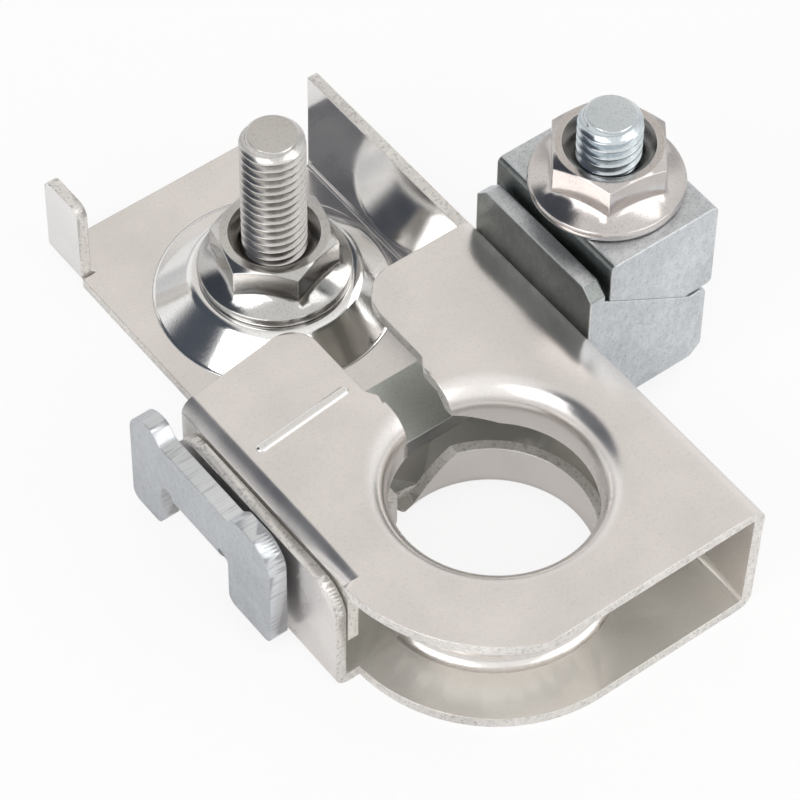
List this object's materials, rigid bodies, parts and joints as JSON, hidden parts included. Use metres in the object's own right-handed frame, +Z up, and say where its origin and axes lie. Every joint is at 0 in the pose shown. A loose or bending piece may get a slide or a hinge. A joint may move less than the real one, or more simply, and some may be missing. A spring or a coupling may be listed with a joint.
{
  "type": "battery terminal clamp",
  "caption": "Folded steel clamp that grips a battery post, drawn tight by a strap and two wedge blocks under a nut, with a threaded stud for the cable lug.",
  "frame": {"origin": "on the axis of the battery post hole, half way up the folded box", "axes": "+Z up along the post, +Y back to the stud, +X to the wedge blocks"},
  "size_m": [0.0524, 0.071, 0.0306],
  "materials": {
    "clamp_sheet": "tin-plated sheet, satin, slightly warm",
    "stud_steel": "bright stainless thread",
    "stud_nut_steel": "bright stainless nut",
    "strap_zinc": "matt blue-white zinc plating",
    "bolt_zinc": "bluish bright zinc plating",
    "wedge_zinc": "granular gray zinc plating, bright on the edges",
    "wedge_nut_steel": "warm nickel plating"
  },
  "bodies": {
    "clamp": {"clamp_top": "clamp_sheet", "clamp_bottom": "clamp_sheet", "stud_plate": "clamp_sheet", "stud_dome": "clamp_sheet", "stud": "stud_steel", "lower_wedge": "wedge_zinc"},
    "strap": {"draw_strap": "strap_zinc", "wedge_bolt": "bolt_zinc"},
    "wedge": {"upper_wedge": "wedge_zinc"},
    "wedge_nut": {"wedge_nut": "wedge_nut_steel"},
    "stud_nut": {"stud_nut": "stud_nut_steel"}
  },
  "joints": [
    {"name": "strap_draw", "type": "slide", "parent": "clamp", "child": "strap", "axis": [1, 0, 0], "range_m": [-0.00052, 0.00052]},
    {"name": "wedge_drop", "type": "slide", "parent": "strap", "child": "wedge", "axis": [0, 0, -1], "range_m": [-0.00033, 0.00033]},
    {"name": "wedge_nut_turn", "type": "hinge", "parent": "wedge", "child": "wedge_nut", "pos_m": [0.0245, 0.0157, 0.0143], "axis": [0, 0, -1], "range_deg": [-120, 120]},
    {"name": "stud_nut_lift", "type": "slide", "parent": "clamp", "child": "stud_nut", "axis": [0, 0, 1], "range_m": [0, 0.011]}
  ],
  "couplings": [
    {"joint": "wedge_nut_turn", "follows": "wedge_drop", "rad_per_m": 6283.2},
    {"joint": "strap_draw", "follows": "wedge_drop", "ratio": 1.534}
  ]
}
